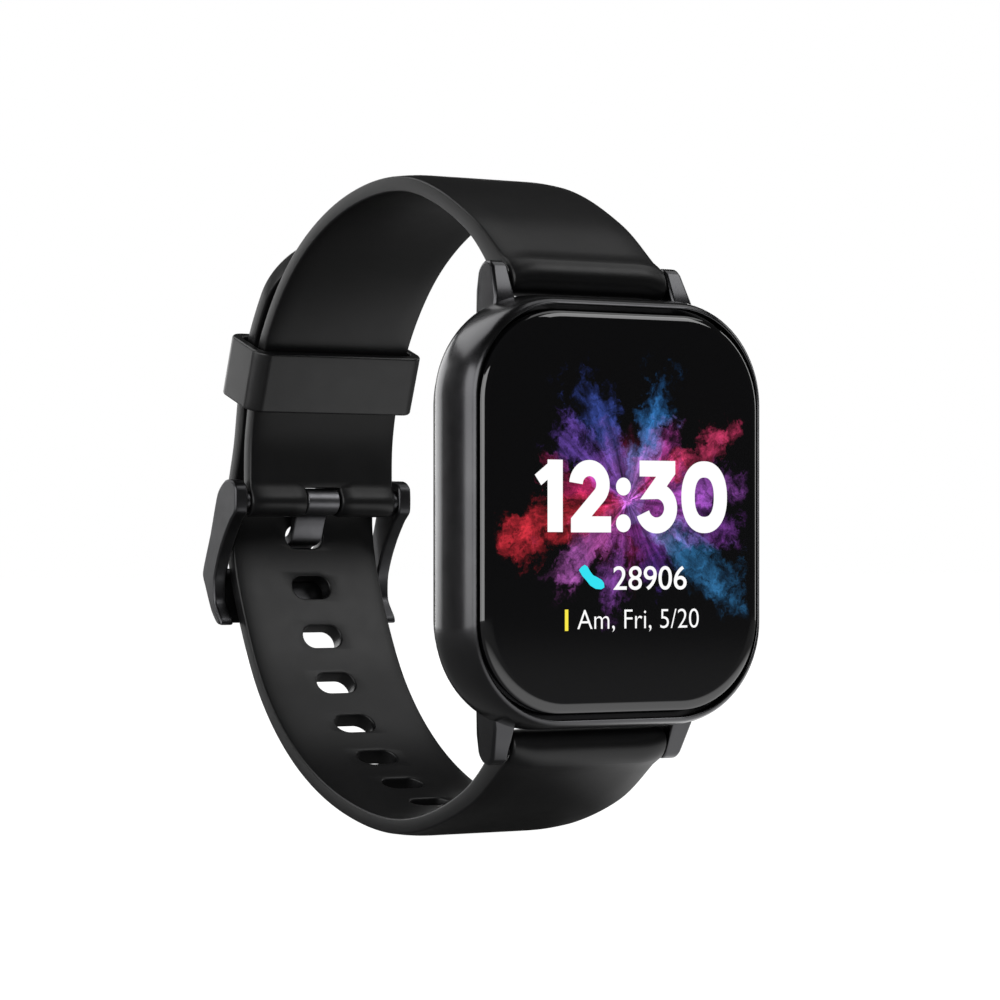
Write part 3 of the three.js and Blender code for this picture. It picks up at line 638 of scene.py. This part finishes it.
def line_of_text(name, words, left, right, low, high, weight):
    """Words in the plain built-in face, fitted between two sides and two heights."""
    text = bpy.data.curves.new(name, "FONT")
    text.body = words
    text.offset = weight
    writer = bpy.data.objects.new(name, text)
    studio.collection.objects.link(writer)
    made = bmesh.new()
    drawn = writer.evaluated_get(bpy.context.evaluated_depsgraph_get()).to_mesh()
    made.from_mesh(drawn)
    bpy.data.objects.remove(writer)
    bpy.data.curves.remove(text)
    first, last = (pick(v.co.x for v in made.verts) for pick in (min, max))
    top = max(v.co.y for v in made.verts)
    for v in made.verts:
        x = left + (right - left) * (v.co.x - first) / (last - first)
        v.co = (x, LIT, low + (high - low) * v.co.y / top)
    piece(name, to_metres(made), lit_white, "case", (), False)


stroke("time_one_stem", [(-8.85, -2.1), (-8.85, 5.5)], 1.9)
stroke("time_one_flag", [(-11.0, 3.35), (-8.9, 4.9)], 1.35)
TWO_FOOT = [(-6.0, -1.0), (-6.0, -1.28), (-1.75, -1.28)]
stroke("time_two", arc(-4.5, 2.95, 1.72, 176, -40) + TWO_FOOT, 1.7)
THREE_TOP = [(1.95, 4.7), (5.75, 4.7), (5.75, 4.45), (3.9, 2.3)]
stroke("time_three", THREE_TOP + arc(4.15, 0.48, 1.85, 82, -162), 1.7)
stroke("time_zero", oval(10.45, 1.7, 2.15, 3.0), 1.75, True)
for name, height in (("time_dot_upper", 2.75), ("time_dot_lower", -1.15)):
    sign(name, arc(-0.15, height, 0.95, 0, 348.75, 31), lit_white)
line_of_text("step_count", "28906", -1.45, 8.1, -8.2, -5.7, 0.004)
line_of_text("date_line", "Am, Fri, 5/20", -6.05, 9.7, -12.35, -10.3, -0.008)
SHOE = (
    (-5.85, -6.1), (-5.5, -5.75), (-5.1, -5.55), (-4.75, -5.75), (-4.45, -6.2), (-4.05, -6.65),
    (-3.55, -6.85), (-2.95, -7.15), (-2.65, -7.5), (-2.6, -7.95), (-3.0, -8.15), (-3.7, -8.1),
    (-4.4, -7.75), (-4.9, -7.2), (-5.4, -6.75),
)
DATE_BAR = ((-7.62, -12.5), (-7.2, -12.5), (-7.2, -10.25), (-7.62, -10.25))
sign("step_shoe", SHOE, glowing("lit_cyan", (0.02, 0.75, 0.88), 1.0))
sign("date_bar", DATE_BAR, glowing("lit_yellow", (0.95, 0.80, 0.05), 1.0))

# ---- Back cover ----
# A moulded black cover, screwed to the case from behind. A low round dome stands in its middle about the
# sensor's lens, and two charging contacts come through below it.

COVER_HALF = Vector((17.55, 21.45))
COVER_BACK = -27.9
SCREW_PLACES = ((-13.3, 17.2), (13.3, 17.2), (-13.3, -17.2), (13.3, -17.2))
CONTACT_PLACES = ((-1.6, -15.4), (1.6, -15.4))

rear_cover = bmesh.new()
rounded_face(rear_cover, COVER_HALF, 10.0, -29.1, 16)
loop = list(rear_cover.edges)
for inset, depth in ((0.0, -28.65), (0.06, -28.4), (0.22, -28.15), (0.5, -27.97), (0.9, COVER_BACK)):
    loop = ring_from(rear_cover, loop, COVER_HALF, inset, depth)
bmesh.ops.contextual_create(rear_cover, geom=loop)


def disc_at(low, high, start, end, x=0.0, z=0.0, sides=64):
    """A closed cone or cylinder pointing away from the display: two radii, two depths and a place."""
    made = bmesh.new()
    turned = Matrix.Translation((x, (start + end) / 2, z)) @ Matrix.Rotation(-math.pi / 2, 4, "X")
    bmesh.ops.create_cone(
        made, cap_ends=True, segments=sides, radius1=low, radius2=high, depth=end - start, matrix=turned
    )
    return made


dome = disc_at(12.5, 11.1, -28.5, -26.8, sides=96)
soften(dome, 0.35, 4, lambda e: min(v.co.y for v in e.verts) > -27, 0.4)
rear_cover = carve(rear_cover, dome, operation="UNION")
openings = [disc_at(5.75, 5.75, -28.1, -20)]
for x, z in SCREW_PLACES:
    openings.append(disc_at(1.36, 1.36, -28.45, -20, x, z, 32))
    openings.append(disc_at(0.8, 0.8, -35, -28.4, x, z, 24))
openings += [disc_at(0.72, 0.72, -35, -20, x, z, 24) for x, z in CONTACT_PLACES]
for opening in openings:
    rear_cover = carve(rear_cover, opening)
cover_plastic = Finish("cover_plastic")
cover_plastic.mottle(3 * MM, (0.008, 0.008, 0.009), (0.013, 0.013, 0.014))
cover_plastic.set(Roughness=cover_plastic.span(cover_plastic.noise(1.2 * MM), 0.42, 0.55))
cover_plastic.bump(cover_plastic.noise(0.11 * MM, 3), 0.012 * MM, 0.5)
piece("rear_cover", to_metres(rear_cover), cover_plastic.material, "case", ["back_cover"])

lens = disc_at(5.6, 5.1, -28.08, -26.63, sides=96)
soften(lens, 0.3, 5, lambda e: min(v.co.y for v in e.verts) > -27, 0.4)
lens_glass = Finish("tinted_lens")
lens_glass.mottle(4 * MM, (0.004, 0.004, 0.005), (0.008, 0.008, 0.010))
lens_glass.set(Roughness=lens_glass.span(lens_glass.noise(6 * MM), 0.03, 0.07), IOR=1.5)
piece("sensor_lens", to_metres(lens), lens_glass.material, "case", ["sensor_window"])

# ---- Buckle half of the band ----
# A moulded silicone strap, 20 mm wide, from the upper spring bar over the top of the wrist to the buckle pin.
# It is thick and round at the case, soft at its long edges, and slotted at the pin for the tongue.

STRAP_WIDTH = 20.0
STRAP_THICKNESS = 2.2
HEAD_RADIUS = 2.25
EYE_RADIUS = 1.9
PIN = (27.0, 1.9)
SLOT_WIDTH, SLOT_DEPTH = 4.9, 1.64
BEND_STEP = 0.9
BEND_LINES = [side * x for side in (-1, 1) for x in (1.4, 4.2, 5.6, 6.4, 7.2, 7.8, 8.4, 8.9)] + [0]


class BandLine:
    """The middle line of a strap in the plane of the loop: a smooth curve, measured along its length."""

    def __init__(self, points):
        ends = [2 * points[0] - points[1], *points, 2 * points[-1] - points[-2]]
        self.places = [points[0]]
        for before, start, end, after in zip(ends, ends[1:], ends[2:], ends[3:]):
            steps = ((before, start), (start, end), (end, after))
            first, gap, last = (math.sqrt((b - a).length) for a, b in steps)
            leave = (start - before) / first - (end - before) / (first + gap) + (end - start) / gap
            meet = (end - start) / gap - (after - start) / (gap + last) + (after - end) / last
            for i in range(1, 41):
                t = i / 40
                flat = start * (1 + 2 * t) * (1 - t) ** 2 + end * t * t * (3 - 2 * t)
                self.places.append(flat + (leave * t * (1 - t) ** 2 - meet * t * t * (1 - t)) * gap)
        self.marks = [0.0]
        for a, b in zip(self.places, self.places[1:]):
            self.marks.append(self.marks[-1] + (b - a).length)
        self.length = self.marks[-1]

    def raw(self, along):
        """Place at a distance from the start."""
        along = min(max(along, 0.0), self.length)
        low, high = 0, len(self.marks) - 1
        while high - low > 1:
            middle = (low + high) // 2
            if self.marks[middle] <= along:
                low = middle
            else:
                high = middle
        share = (along - self.marks[low]) / max(1e-9, self.marks[high] - self.marks[low])
        return self.places[low].lerp(self.places[high], share)

    def at(self, along):
        """Place, direction along and direction away from the wrist."""
        near = min(max(along, 0.0), self.length)
        place = self.raw(near)
        ahead = (self.raw(near + 0.35) - self.raw(near - 0.35)).normalized()
        away = Vector((-ahead.y, ahead.x))
        if away.dot(place) < 0:
            away.negate()
        past = min(along, 0.0) + max(along - self.length, 0.0)
        return place + ahead * past, ahead, away


def flat_strap(start, end, tip=0.0):
    """A strap before it is bent: X across, Y along and Z away from the wrist."""
    blank = block((STRAP_WIDTH, end - start, STRAP_THICKNESS), (0, (start + end) / 2, 0))
    if tip:
        corners = [e for e in edges_along(blank, 2) if all(abs(v.co.y - end) < 1e-4 for v in e.verts)]
        bevel(blank, corners, tip, 24)
    for round_end in (start,) if tip else (start, end):
        lips = [e for e in edges_along(blank, 0) if all(abs(v.co.y - round_end) < 1e-4 for v in e.verts)]
        bevel(blank, lips, STRAP_THICKNESS / 2 - 0.01, 10)
    soften(blank, 0.62, 5)
    return blank


def slit(mesh, axis, marks):
    """Cuts loops across a bmesh at each mark along an axis, so that it can bend there."""
    normal = [0, 0, 0]
    normal[axis] = 1
    for mark in marks:
        place = [0, 0, 0]
        place[axis] = mark
        everything = [*mesh.verts, *mesh.edges, *mesh.faces]
        bmesh.ops.bisect_plane(mesh, geom=everything, dist=1e-4, plane_co=place, plane_no=normal)


def bend_strap(mesh, line, head_radius, eye_radius=0.0):
    """Bends a flat strap along its line, with round ends about the spring bar and the buckle pin."""
    half = STRAP_THICKNESS / 2
    swell, swell_length = 1.8, 0.16 * line.length
    for v in mesh.verts:
        x, along, height = v.co
        # The outer face falls towards both long edges, and the inner face rises to meet it.
        height -= 0.34 * (max(0.0, abs(x) - 6.4) / 3.6) ** 2 * (height + half) / STRAP_THICKNESS
        height += 0.16 * (max(0.0, abs(x) - 7.4) / 2.6) ** 2 * (half - height) / STRAP_THICKNESS
        thickness = STRAP_THICKNESS + swell * max(0.0, 1 - along / swell_length) ** 2
        thickness = max(thickness, 2 * math.sqrt(max(0.0, head_radius ** 2 - max(0.0, along) ** 2)))
        if along < 0:
            along *= 2 * head_radius / STRAP_THICKNESS
            thickness = 2 * head_radius
        if eye_radius:
            short = max(0.0, line.length - along)
            thickness = max(thickness, 2 * math.sqrt(max(0.0, eye_radius ** 2 - short ** 2)))
            if along > line.length:
                along = line.length + (along - line.length) * 2 * eye_radius / STRAP_THICKNESS
        place, _, away = line.at(along)
        spot = place + away * height * thickness / STRAP_THICKNESS
        v.co = (x, spot.x, spot.y)


def silicone(name, ior=1.4):
    """Soft-touch black silicone: satin, with a fine moulded grain and faint broad ripples."""
    finish = Finish(name)
    finish.mottle(9 * MM, (0.0035, 0.0035, 0.0038), (0.0058, 0.0058, 0.0062), 0.30, 0.75, 4)
    finish.set(Roughness=finish.span(finish.noise(2.2 * MM, 4), 0.33, 0.42), IOR=ior)
    height = finish.maths("MULTIPLY_ADD", finish.noise(5 * MM, 2), 2.2, finish.noise(0.16 * MM, 3, 0.6))
    finish.bump(height, 0.012 * MM, 0.35)
    return finish.material


strap_silicone = silicone("strap_silicone")

BUCKLE_LINE = BandLine(
    [Vector(p) for p in (
        (BAR_DEPTH, BAR_HEIGHT), (-23.4, 31.6), (-10.4, 36.9), (3.4, 35.9),
        (15.1, 30.2), (23.0, 21.0), (26.6, 10.4), PIN,
    )]
)

half = flat_strap(-STRAP_THICKNESS / 2, BUCKLE_LINE.length + STRAP_THICKNESS / 2)
slot_start = BUCKLE_LINE.length - SLOT_DEPTH
half = carve(half, block((SLOT_WIDTH, 8, 8), (0, slot_start + 4, 0)))
soften(half, 0.2, 2, lambda e: all(abs(v.co.x) < 2.8 for v in e.verts), 0.7)
slit(half, 1, [BEND_STEP * i for i in range(int(BUCKLE_LINE.length / BEND_STEP) + 1)])
slit(half, 0, BEND_LINES)
bend_strap(half, BUCKLE_LINE, HEAD_RADIUS, EYE_RADIUS)
half = carve(half, rod(0.95, -12, 12, BAR_DEPTH, BAR_HEIGHT), rod(0.8, -12, 12, *PIN))
half = to_metres(half)
buckle_half = piece("band_buckle_half", half, strap_silicone, None, ["buckle_strap"])
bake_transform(buckle_half)

# ---- Hole half of the band ----
# The longer strap, moulded in the same silicone, from the lower spring bar round the back of the wrist.
# It has ten slots with eased rims and a round tip, and lies outside the buckle half under the keeper.

LAYER_STEP = 2.75
HOLE_COUNT = 10
HOLES_PAST_TONGUE = 2
HOLE_PITCH = 6.7
TONGUE_HOLE_HEIGHT = -2.6
HOLE_CUT = (5.2, 3.0, 8)


def outside(share):
    """A point of the tail's line, one layer outside the buckle half."""
    place, _, away = BUCKLE_LINE.at(BUCKLE_LINE.length * share)
    return place + away * LAYER_STEP


HOLE_LINE = BandLine(
    [Vector(p) for p in (
        (BAR_DEPTH, -BAR_HEIGHT), (-23.1, -31.0), (-9.8, -35.0), (3.2, -33.7), (14.5, -28.9),
        (23.2, -21.1), (29.6, -9.3), (31.5, -2.9), (31.6, 1.4),
    )]
    + [outside(share) for share in (0.92, 0.85, 0.78, 0.71, 0.65, 0.6)]
)
tongue_hole = HOLE_LINE.length * 0.45
while HOLE_LINE.raw(tongue_hole).y < TONGUE_HOLE_HEIGHT:
    tongue_hole += 0.02
hole_places = [tongue_hole + (HOLES_PAST_TONGUE - i) * HOLE_PITCH for i in range(HOLE_COUNT)]

tail = flat_strap(-STRAP_THICKNESS / 2, HOLE_LINE.length, 9.6)
tail = carve(tail, *[block(HOLE_CUT, (0, place, 0), 1.45) for place in hole_places])
soften(tail, 0.22, 3, lambda e: all(abs(v.co.x) < 2.8 for v in e.verts) and e.verts[0].co.y > 20, 0.9)
slit(tail, 1, [BEND_STEP * i for i in range(int(HOLE_LINE.length / BEND_STEP) + 1)])
slit(tail, 0, BEND_LINES)
bend_strap(tail, HOLE_LINE, HEAD_RADIUS)
tail = carve(tail, rod(1.02, -12, 12, BAR_DEPTH, -BAR_HEIGHT))
hole_half = piece("band_hole_half", to_metres(tail), strap_silicone, None, ["hole_strap"])
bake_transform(hole_half)

# ---- Keeper ----
# A loose moulded loop of the same silicone that holds the strap's tail against the buckle half.
# It is one closed band with round outer corners and slightly eased rims.

KEEPER_LENGTH = 7.4
KEEPER_SHARE = 0.815
KEEPER_MIDDLE = (0, 0, 1.3)
keeper_place, keeper_along, keeper_away = BUCKLE_LINE.at(BUCKLE_LINE.length * KEEPER_SHARE)

loop_block = block((23.2, KEEPER_LENGTH, 8.7), KEEPER_MIDDLE, 1.9, "Y")
loop_block = carve(loop_block, block((20.9, KEEPER_LENGTH + 4, 6.1), KEEPER_MIDDLE, 0.8, "Y"))
soften(loop_block, 0.3, 3)
slit(loop_block, 1, [-2.4, 0, 2.4])
for v in loop_block.verts:
    spot = (keeper_place + keeper_along * v.co.y + keeper_away * v.co.z) * MM
    v.co = (v.co.x * MM, spot.x, spot.y)
piece("band_keeper", loop_block, silicone("keeper_silicone", 1.5), "keeper", ["keeper"])

# ---- Buckle ----
# A cast frame with two bent arms and a bar, a turned pin through the strap's eye, and a bent tongue.
# All are black plated metal, polished to a soft gloss, and the tongue is the brightest of them.


def plated(name, shade=0.052):
    finish = Finish(name)
    dark, light = ((shade * k, shade * k, shade * k * 1.05) for k in (1.0, 1.4))
    finish.mottle(3 * MM, dark, light, 0.3, 0.75, 4)
    finish.set(Roughness=finish.span(finish.noise(0.8 * MM, 4), 0.30, 0.42), Metallic=1.0)
    finish.bump(finish.noise(0.25 * MM, 3), 0.003 * MM, 0.5)
    return finish.material


buckle_plating = plated("buckle_plating")


def rounded_outline(points, steps=5):
    """Smooths a closed outline of [y, z] points."""
    ring = [Vector(p) for p in points]
    count = len(ring)
    smooth = []
    for i in range(count):
        before, start, end, after = (ring[(i + k) % count] for k in (-1, 0, 1, 2))
        leave = (end - before) * 0.36
        meet = (after - start) * 0.36
        leave *= min(1.0, (end - start).length / max(leave.length, 1e-6))
        meet *= min(1.0, (end - start).length / max(meet.length, 1e-6))
        for k in range(steps):
            t = k / steps
            flat = start * (1 + 2 * t) * (1 - t) ** 2 + end * t * t * (3 - 2 * t)
            smooth.append(flat + leave * t * (1 - t) ** 2 - meet * t * t * (1 - t))
    return smooth


def slab(outline, start, end, rim=0.0):
    """An outline of [y, z] points, made solid between two X planes, with round rims."""
    made = bmesh.new()
    made.faces.new([made.verts.new((start, *p)) for p in outline])
    grown = bmesh.ops.extrude_face_region(made, geom=list(made.faces))["geom"]
    bmesh.ops.translate(made, verts=new_verts(grown), vec=(end - start, 0, 0))
    if rim:
        bevel(made, edges_across(made, 0), rim, 3)
    return made


ARM_THICKNESS = 1.75
ARM_OUTLINE = (
    (25.5, 3.5), (26.6, 4.4), (28.3, 4.4), (30.2, 2.8), (32.0, -2.0), (34.0, -6.7),
    (33.3, -8.6), (31.8, -11.4), (30.4, -12.9), (29.2, -13.1), (29.3, -12.3), (30.8, -10.2),
    (30.8, -7.4), (29.8, -4.9), (28.4, -2.6), (26.8, -0.6), (25.5, 0.7),
)
CROSS_BAR_OUTLINE = (
    (32.1, -7.0), (33.1, -6.3), (34.0, -6.9), (33.3, -8.6),
    (31.8, -11.4), (30.4, -12.9), (30.2, -12.0), (31.2, -10.2),
)
TONGUE_OUTLINE = (
    (27.2, 0.5), (28.6, 0.1), (29.2, -1.0), (29.9, -2.8), (30.9, -3.4),
    (32.3, -3.8), (33.2, -5.2), (33.9, -5.7), (34.3, -5.0), (32.9, -2.7),
    (31.2, -2.2), (30.4, -1.4), (29.9, 0.2), (29.2, 1.5), (28.0, 2.6),
)

arm_edge = rounded_outline(ARM_OUTLINE)
arms = [slab(arm_edge, start, start + ARM_THICKNESS, 0.3) for start in (10.6, -10.6 - ARM_THICKNESS)]
cross_bar = slab(rounded_outline(CROSS_BAR_OUTLINE), -11.2, 11.2)
notch = block((5.0, 4, 2.2), (0, 0, 0))
bmesh.ops.rotate(notch, verts=notch.verts, matrix=Matrix.Rotation(-0.72, 3, "X"))
bmesh.ops.translate(notch, verts=notch.verts, vec=(0, 33.6, -5.6))
cross_bar = carve(cross_bar, notch)
collars = [rod(1.35, start, start + 0.6, *PIN) for start in (10.05, -10.65)]
for collar in collars:
    soften(collar, 0.12, 2)
frame_mesh = to_metres(merge(*arms, cross_bar, *collars))
piece("buckle_frame_cast", frame_mesh, buckle_plating, "frame", ["buckle_frame"])

pin_mesh = rod(0.75, -12.2, 12.2, *PIN)
soften(pin_mesh, 0.15, 2)
piece("buckle_pin_turned", to_metres(pin_mesh), buckle_plating, "rear_band", ["buckle_pin"])

knuckle = rod(1.6, -2.2, 2.2, *PIN, 64)
soften(knuckle, 0.14, 3)
blade = slab(rounded_outline(TONGUE_OUTLINE), -2.1, 2.1, 0.16)
tongue_mesh = carve(knuckle, blade, operation="UNION")
tongue_mesh = to_metres(carve(tongue_mesh, rod(0.8, -3, 3, *PIN)))
tongue_plating = plated("tongue_plating", 0.13)
piece("buckle_tongue_bent", tongue_mesh, tongue_plating, "tongue", ["buckle_tongue"])

# ---- Inner parts ----
# What the case holds: board, battery, motor, display and seals, the screws and spring bars that join it
# to the cover and the band, each in the finish it has in the trade.


def worked(name, dark, light, grain, roughness, metal=0.0, depth=0.01):
    finish = Finish(name)
    finish.mottle(grain * MM * 6, dark, light, detail=4)
    finish.set(Roughness=finish.span(finish.noise(grain * MM * 2), roughness - 0.05, roughness + 0.08))
    finish.set(Metallic=metal)
    finish.bump(finish.noise(grain * MM, 3), depth * MM, 0.5)
    return finish.material


FINISHES = {
    "inner_plastic": worked("inner_plastic", (0.02, 0.02, 0.022), (0.032, 0.032, 0.035), 0.2, 0.55),
    "board": worked("board_mask", (0.008, 0.07, 0.03), (0.015, 0.11, 0.05), 0.6, 0.35),
    "film": worked("amber_film", (0.32, 0.13, 0.03), (0.45, 0.2, 0.05), 0.8, 0.3),
    "pouch": worked("foil_pouch", (0.45, 0.46, 0.48), (0.6, 0.61, 0.63), 0.9, 0.3, 1.0, 0.05),
    "shield": worked("tinned_sheet", (0.5, 0.5, 0.52), (0.62, 0.62, 0.64), 0.3, 0.3, 1.0),
    "steel": worked("bright_steel", (0.48, 0.48, 0.5), (0.6, 0.6, 0.62), 0.1, 0.22, 1.0, 0.004),
    "gold": worked("gold_plate", (0.72, 0.48, 0.16), (0.82, 0.58, 0.22), 0.1, 0.2, 1.0, 0.004),
    "seal": worked("matt_elastomer", (0.02, 0.02, 0.022), (0.03, 0.03, 0.033), 0.15, 0.75),
    "display": worked("dark_panel", (0.006, 0.006, 0.008), (0.012, 0.012, 0.015), 0.3, 0.2),
    "sensor_glass": lens_glass.material,
    "cover_black": cover_plastic.material,
    "button_black": case_coating,
}
for part in frame["record"]["subparts"]:
    if part["material_slot"] in FINISHES:
        for slot in frame["nodes"][part["node"]].material_slots:
            slot.material = FINISHES[part["material_slot"]]
